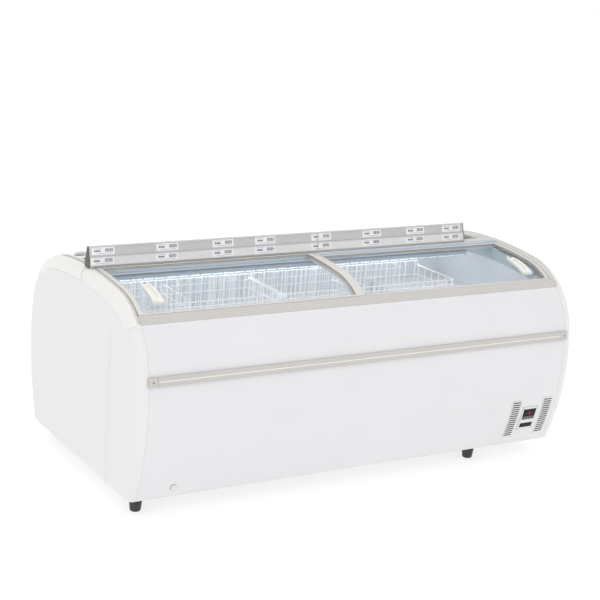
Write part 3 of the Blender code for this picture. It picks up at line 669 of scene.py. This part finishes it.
def led_strips():
    """Clear strips under the spine, each with a row of lit chips on its outer face."""
    for side, sign in SIDES.items():
        node = side + "_led_strip"
        low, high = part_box(node)
        refined(node, ease=0.0005, material=CLEAR_STRIP)
        outer = max(abs(low.y), abs(high.y))
        ys = ordered(sign, outer + CHIP_PROUD[0], outer + CHIP_PROUD[1])
        zs = (low.z + CHIP_RISE[0], low.z + CHIP_RISE[1])
        bm = bmesh.new()
        for x in spaced(low.x + CHIP_MARGIN, high.x - CHIP_MARGIN, CHIP_PITCH):
            box_into(bm, (x - CHIP_HALF, x + CHIP_HALF), ys, zs)
        place(finish_mesh(bm, side + "_led_chips"), MATERIALS["led_lens"], CABINET, "led_lens")


LEDGES = ((0.0325, 0.0220), (0.0245, 0.0100))      # distance from the middle and depth of each ledge
CANOPY_LINE = (0.0300, 0.0395)     # its edges, as distances from the middle
SPINE_END = 0.012
LINE_WIDTH = 0.0016
COVER_HALF = 0.0236
COVER_Z = (BODY_TOP - 0.0006, BODY_TOP + 0.0007)


def spine_lines():
    """Shadow gaps where the beam's ledges and the lamp canopy meet, and the beam's cover strip."""
    canopy_low, canopy_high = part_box("light_canopy")
    spine_low, spine_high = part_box("spine_beam")
    xs = (spine_low.x + SPINE_END, spine_high.x - SPINE_END)
    for side, sign in SIDES.items():
        bm = bmesh.new()
        for y, depth in LEDGES:
            z = skin(angle_at_y(y), depth)[1]
            box_into(bm, xs, ordered(sign, y - 0.0003, y + LINE_WIDTH), (z - 0.0004, z + 0.0006))
        box_into(bm, (canopy_low.x, canopy_high.x), ordered(sign, *CANOPY_LINE),
                 (canopy_high.z + 0.0002, canopy_high.z + LINE_WIDTH))
        place(finish_mesh(bm, side + "_spine_lines"), GASKET, CABINET, "spine_enamel")
    cover = bmesh.new()
    box_into(cover, xs, (-COVER_HALF, COVER_HALF), COVER_Z)
    place(finish_mesh(cover, "spine_cover"), MATERIALS["trim_plastic"], CABINET, "spine_enamel")


# ---------------------------------------------------------------- price rail
RAIL_BASE = BODY_TOP + 0.008
RAIL_TIER = 0.036
# each leaning tier's lower and upper edge, as distance from the middle and height above the rail's base
TIERS = (((0.025, 0.000), (0.018, RAIL_TIER)), ((0.014, RAIL_TIER), (0.006, 2 * RAIL_TIER)))
TAG_X = (-0.920, -0.655, -0.415, -0.215, 0.045, 0.290, 0.520, 0.705)
TAG_WIDTH = 0.094
TAG_HEIGHT = 0.029
TAG_SCATTER = 0.004
TIER_SHIFT = 0.005                 # of the upper tier's tags past the lower tier's
CARD_THICK = 0.0008
CARD_PROUD = 0.0012
INK_PROUD = 0.0017
INK_THICK = 0.0003
RAIL_JOINT_X = 0.030
RAIL_END_GAP = 0.002
LIP_INSET = 0.0018
INSERT_MARGIN = 0.0035

# what is printed on a tag, placed from its middle; the places along it are in tag widths
BARS = (0.11, 0.14, 0.17, 0.205, 0.24, 0.275, 0.31, 0.34, 0.375, 0.41)
BAR_Y = 0.003
BAR_HEIGHT = 0.013
THIN_BAR = 0.0012
THICK_BAR = 0.0020
BLOCKS = 4
FIRST_BLOCK = -0.36
BLOCK_PITCH = 0.07
BLOCK_Y = 0.001
BLOCK_WIDTH = 0.0046
BLOCK_HEIGHT = 0.0065
RULES = ((-0.25, 0.010, 0.36), (0.05, -0.009, 0.7))    # each rule's place, height and length
RULE_THICK = 0.0008


def tier_edges(side, tier):
    """Bottom and top edges of a leaning tier, at X = 0."""
    return [Vector((0, SIDES[side] * y, RAIL_BASE + z)) for y, z in TIERS[tier]]


def tier_height(side, tier):
    bottom, top = tier_edges(side, tier)
    return (top - bottom).length


def tier_matrix(side, tier, x, along, proud):
    """A plate's own frame on a tier: X along the rail, Y up the tier and Z out of its face."""
    bottom, top = tier_edges(side, tier)
    up = (top - bottom).normalized()
    outward = Vector((0, SIDES[side], 0))
    normal = (outward - up * outward.dot(up)).normalized()
    centre = bottom + up * along + normal * proud + Vector((x, 0, 0))
    turn = Matrix((up.cross(normal), up, normal)).transposed().to_4x4()
    return Matrix.Translation(centre) @ turn


def plate_into(bm, frame_at, width, height, thickness):
    """Thin plate in its own frame: width along X, height along Y."""
    size = Matrix.Diagonal((width, height, thickness, 1.0))
    bmesh.ops.create_cube(bm, size=1.0, matrix=frame_at @ size)


def ink_mark(bm, tag_at, x, y, width, height):
    """A printed block, placed from the middle of its tag."""
    plate_into(bm, tag_at @ Matrix.Translation((x, y, 0)), width, height, INK_THICK)


def tag_ink(bm, tag_at):
    """Generic bars, blocks for the price and two rules."""
    for number, share in enumerate(BARS):
        width = THIN_BAR if number % 3 else THICK_BAR
        ink_mark(bm, tag_at, TAG_WIDTH * share, BAR_Y, width, BAR_HEIGHT)
    for number in range(BLOCKS):
        share = FIRST_BLOCK + BLOCK_PITCH * number
        ink_mark(bm, tag_at, TAG_WIDTH * share, BLOCK_Y, BLOCK_WIDTH, BLOCK_HEIGHT)
    for share, y, length in RULES:
        ink_mark(bm, tag_at, TAG_WIDTH * share, y, TAG_WIDTH * length, RULE_THICK)


def price_tags():
    """Cards in both tiers of both sides, each a few millimetres off an even row."""
    for side in SIDES:
        for tier in range(len(TIERS)):
            middle = tier_height(side, tier) / 2
            cards = bmesh.new()
            ink = bmesh.new()
            for number, x in enumerate(TAG_X):
                tag_x = x + TAG_SCATTER * (number % 3 - 1) + TIER_SHIFT * tier
                card_at = tier_matrix(side, tier, tag_x, middle, CARD_PROUD)
                plate_into(cards, card_at, TAG_WIDTH, TAG_HEIGHT, CARD_THICK)
                tag_ink(ink, tier_matrix(side, tier, tag_x, middle, INK_PROUD))
            name = "{}_tags_{}".format(side, tier)
            place(finish_mesh(cards, name), TAG_WHITE, CABINET, "rail_plastic")
            place(finish_mesh(ink, name + "_ink"), INK, CABINET, "rail_plastic")


def rail_lips(side, tier, middle, length):
    """Small lips along a tier's top and bottom edges, which hold the cards."""
    bm = bmesh.new()
    for along in (LIP_INSET, tier_height(side, tier) - LIP_INSET):
        lip_at = tier_matrix(side, tier, middle, along, proud=0.0012)
        plate_into(bm, lip_at, length, height=0.0030, thickness=0.0022)
    soften(bm, ease=0.0006)
    place(finish_mesh(bm, "{}_rail_lips_{}".format(side, tier)), MATERIALS["rail_plastic"], CABINET,
          "rail_plastic")


def rail_insert(side, tier, middle, length):
    """Strip of card behind a tier's tags, painted lighter on the lower tier and darker on the upper tier as
    painted light and shade.
    """
    height = tier_height(side, tier)
    bm = bmesh.new()
    insert_at = tier_matrix(side, tier, middle, height / 2, proud=0.0003)
    plate_into(bm, insert_at, length, height - 2 * INSERT_MARGIN, thickness=0.0006)
    place(finish_mesh(bm, "{}_rail_insert_{}".format(side, tier)), LIT_AND_SHADED_INSERTS[tier], CABINET, "rail_plastic")


def rail_joint(side, tier):
    """Joint between the rail's two lengths."""
    height = tier_height(side, tier)
    bm = bmesh.new()
    joint_at = tier_matrix(side, tier, RAIL_JOINT_X, height / 2, proud=0.0014)
    plate_into(bm, joint_at, width=0.0014, height=height, thickness=0.0024)
    place(finish_mesh(bm, "{}_rail_joint_{}".format(side, tier)), SEAM, CABINET, "rail_plastic")


def rail_details():
    """Lips, card strips and joints of every tier."""
    low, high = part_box("price_rail")
    middle = (low.x + high.x) / 2
    length = high.x - low.x - 2 * RAIL_END_GAP
    for side in SIDES:
        for tier in range(len(TIERS)):
            rail_lips(side, tier, middle, length)
            rail_insert(side, tier, middle, length)
            rail_joint(side, tier)


# ---------------------------------------------------------------- controls
SEGMENTS = {"1": "bc", "8": "abcdefg", "-": "g"}
# each segment's place, across in figure widths and up in half heights, and whether it lies flat
SEGMENT_PLACES = {"a": (0, 1, True), "b": (0.5, 0.5, False), "c": (0.5, -0.5, False), "d": (0, -1, True),
                  "e": (-0.5, -0.5, False), "f": (-0.5, 0.5, False), "g": (0, 0, True)}
FIGURE_WIDTH = 0.0062
FIGURE_HALF = 0.0065               # half of a figure's height
FIGURE_PITCH = 0.0105
FIGURE_DEPTH = -0.0013             # negative depths stand proud of the front panel
FIGURES_AT = (0.22, 0.60)          # the first figure's middle, as shares of the display's size
PAD_MARGIN = 0.002
PAD_TOP = 0.013                    # above the display's lower edge
FIRST_KEY = 0.012
KEY_PITCH = 0.0140
STRIP_RISE = 0.014                 # above the surround's lower edge
STRIP_HEIGHT = 0.020
STRIP_MARGIN = 0.009
DASHES = (0.011, 0.007, 0.013, 0.009)              # lengths
DASH_RISE = 0.011
DASH_HALF = 0.0008
DASH_DEPTH = -0.0033
FIRST_DASH = 0.010
DASH_PITCH = 0.0150
SEGMENT_HALF = 0.0009
SEGMENT_SHARE = 0.42               # a segment's half length, in figure widths or half heights


def control_digits(low, high):
    """Red seven-segment figures."""
    first_x = low.x + (high.x - low.x) * FIGURES_AT[0]
    middle = low.z + (high.z - low.z) * FIGURES_AT[1]
    long_x = FIGURE_WIDTH * SEGMENT_SHARE
    long_z = FIGURE_HALF * SEGMENT_SHARE
    bm = bmesh.new()
    for number, figure in enumerate("-18"):
        for segment in SEGMENTS[figure]:
            across, up, flat = SEGMENT_PLACES[segment]
            x = first_x + number * FIGURE_PITCH + across * FIGURE_WIDTH
            z = middle + up * FIGURE_HALF
            y = on_front(z, FIGURE_DEPTH)
            half_x, half_z = (long_x, SEGMENT_HALF) if flat else (SEGMENT_HALF, long_z)
            box_into(bm, (x - half_x, x + half_x), (y - 0.0005, y + 0.0006), (z - half_z, z + half_z))
    place(finish_mesh(bm, "control_digits"), DIGIT_RED, CABINET, "display_black")


def control_keypad(low, high):
    """Grey pad below the figures, with four round keys."""
    arc_strip("control_keypad", "front", (low.x + PAD_MARGIN, high.x - PAD_MARGIN),
              angles=heights_to_angles(low.z + PAD_MARGIN, low.z + PAD_TOP), depths=(-0.0016, -0.0004),
              material=KEY_GREY, slot="display_black")
    bm = bmesh.new()
    for number in range(4):
        face_disc(bm, low.x + FIRST_KEY + number * KEY_PITCH, low.z + (PAD_MARGIN + PAD_TOP) / 2,
                  radius=0.0036, proud=0.0014, height=0.0012)
    place(finish_mesh(bm, "control_buttons"), MATERIALS["black_plastic"], CABINET, "display_black")


def control_strip(low, high):
    """Black strip along the bottom of the surround, with plain dashes on it."""
    bottom = low.z + STRIP_RISE
    xs = (low.x + STRIP_MARGIN, high.x - STRIP_MARGIN)
    arc_strip("control_strip", "front", xs, angles=heights_to_angles(bottom, bottom + STRIP_HEIGHT),
              depths=(-0.0034, -0.0020), material=MATT_BLACK, slot="display_black")
    z = bottom + DASH_RISE
    y = on_front(z, DASH_DEPTH)
    bm = bmesh.new()
    for number, length in enumerate(DASHES):
        x = xs[0] + FIRST_DASH + number * DASH_PITCH
        box_into(bm, (x, x + length), (y - 0.0004, y + 0.0004), (z - DASH_HALF, z + DASH_HALF))
    place(finish_mesh(bm, "control_strip_marks"), KEY_GREY, CABINET, "display_black")


def control_screws(low, high):
    """A screw in each corner of the surround."""
    inset = 0.006
    bm = bmesh.new()
    for x in (low.x + inset, high.x - inset):
        for z in (low.z + inset, high.z - inset):
            face_disc(bm, x, z, radius=0.0024, proud=0.0020, height=0.0008)
    place(finish_mesh(bm, "control_screws"), SCREW, CABINET, "grille_plastic")


def control_gaps(low, high):
    """Shadow gap round the surround."""
    half = 0.0008
    for name, xs, zs in (("bottom", (low.x, high.x), (low.z - half, low.z + half)),
                         ("top", (low.x, high.x), (high.z - half, high.z + half)),
                         ("left", (low.x - half, low.x + half), (low.z, high.z)),
                         ("right", (high.x - half, high.x + half), (low.z, high.z))):
        arc_strip("control_gap_" + name, "front", xs, angles=heights_to_angles(*zs),
                  depths=(-0.0002, 0.001), material=SEAM, slot="grille_plastic", ease=0.0)


def controls():
    control_digits(*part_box("control_display"))
    control_keypad(*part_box("control_display"))
    control_strip(*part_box("control_bezel"))
    control_screws(*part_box("control_bezel"))
    control_gaps(*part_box("control_bezel"))


SHADE_SHEET_MARGIN = 0.004


def vent_shade_sheets():
    """Dark sheet behind each vent grille: painted shade of the compartment behind its slots."""
    for end in ENDS:
        low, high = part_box(end + "_vent_grille")
        # a matt black sheet just behind the slots stands for the shade behind them, as painted shade
        arc_strip(end + "_vent_shade_sheet", "front", (low.x - SHADE_SHEET_MARGIN, high.x + SHADE_SHEET_MARGIN),
                  angles=heights_to_angles(low.z - SHADE_SHEET_MARGIN, high.z + SHADE_SHEET_MARGIN),
                  depths=(0.0060, 0.0075), material=MATT_BLACK, slot="black_plastic")


# ---------------------------------------------------------------- floor, light and camera
# place, size and power of each soft light
STUDIO_LIGHTS = {
    "key": ((-3.5, -5.0, 5.0), 4.0, 42.0),
    "fill": ((4.5, -4.0, 3.0), 4.0, 3.0),
    "top": ((0.0, 1.0, 6.0), 5.0, 10.0),
}
LIGHT_TARGET = Vector((0, 0, 0.4))
TANK_LAMP_POWER = 0.4
TANK_LAMP_WIDTH = 0.012
TANK_LAMP_OUT = 0.006              # out from a strip's outer face
TANK_LAMP_DROP = 0.004             # down from its lower edge


def area_light(name, size, power, spot, direction):
    """An area light at a place, which shines in a direction."""
    lamp = bpy.data.lights.new(name, "AREA")
    lamp.size = size
    lamp.energy = power
    obj = bpy.data.objects.new(name, lamp)
    obj.location = spot
    obj.rotation_euler = direction.to_track_quat("-Z", "Y").to_euler()
    bpy.context.scene.collection.objects.link(obj)
    return lamp


def studio():
    """Pale floor, white surroundings and soft lights."""
    scene = bpy.context.scene
    scene.view_settings.view_transform = "Standard"
    bpy.ops.mesh.primitive_plane_add(size=40.0, location=(0, 0, 0))
    floor = bpy.context.active_object
    floor.name = "studio_floor"
    pale = surface("studio_pale", (0.30, 0.30, 0.30), 0.8, bump=0.0, mottle=0.0)
    floor.data.materials.append(glow(pale, (1.0, 1.0, 1.0), 0.74))
    world = bpy.data.worlds.new("studio_world")
    world.use_nodes = True
    background = world.node_tree.nodes["Background"]
    background.inputs["Color"].default_value = (1.0, 1.0, 1.0, 1.0)
    background.inputs["Strength"].default_value = 1.0
    scene.world = world
    for name, (spot, size, power) in STUDIO_LIGHTS.items():
        area_light(name, size, power, spot, LIGHT_TARGET - Vector(spot))


def tank_lamps():
    """Cool light from the strips under the spine into both halves of the tank."""
    for side, sign in SIDES.items():
        low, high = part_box(side + "_led_strip")
        outer = max(abs(low.y), abs(high.y))
        spot = ((low.x + high.x) / 2, sign * (outer + TANK_LAMP_OUT), low.z - TANK_LAMP_DROP)
        lamp = area_light(side + "_tank_lamp", high.x - low.x, TANK_LAMP_POWER, spot,
                          Vector((0, sign * 0.5, -0.6)))
        lamp.shape = "RECTANGLE"
        lamp.size_y = TANK_LAMP_WIDTH
        lamp.color = (0.86, 0.94, 1.0)


CAMERA_PLACE = (-3.097, -4.938, 2.134 + FOOT_HEIGHT)
CAMERA_AZIMUTH = math.radians(30.36)
CAMERA_ELEVATION = math.radians(14.57)
CAMERA_ROLL = math.radians(3.68)
CAMERA_SHIFT = (0.06166667, -0.025)
LENS_MM = 87.48
SENSOR_MM = 36


def camera():
    """View from above the front left corner, turned to the right and down, with a slight roll."""
    lens = bpy.data.cameras.new("camera")
    lens.lens = LENS_MM
    lens.sensor_width = SENSOR_MM
    lens.shift_x, lens.shift_y = CAMERA_SHIFT
    lens.clip_end = 100
    forward = Vector((math.sin(CAMERA_AZIMUTH) * math.cos(CAMERA_ELEVATION),
                      math.cos(CAMERA_AZIMUTH) * math.cos(CAMERA_ELEVATION), -math.sin(CAMERA_ELEVATION)))
    right = Vector((math.cos(CAMERA_AZIMUTH), -math.sin(CAMERA_AZIMUTH), 0.0))
    up = right.cross(forward)
    right_rolled = right * math.cos(CAMERA_ROLL) + up * math.sin(CAMERA_ROLL)
    up_rolled = up * math.cos(CAMERA_ROLL) - right * math.sin(CAMERA_ROLL)
    turn = Matrix((right_rolled, up_rolled, -forward)).transposed().to_4x4()
    obj = bpy.data.objects.new("camera", lens)
    obj.matrix_world = Matrix.Translation(CAMERA_PLACE) @ turn
    bpy.context.scene.collection.objects.link(obj)
    bpy.context.scene.camera = obj


camera()
studio()
cabinet_shell()
end_seams()
moulding_lines()
arch_joints()
bumper_details()
drain_ring()
lids()
for side_name in SIDES:
    for end_name in ENDS:
        wire_basket(side_name, end_name)
        wire_divider(side_name, end_name)
end_wall_shade_bands()
basket_clips()
led_strips()
spine_lines()
price_tags()
rail_details()
controls()
vent_shade_sheets()
tank_lamps()
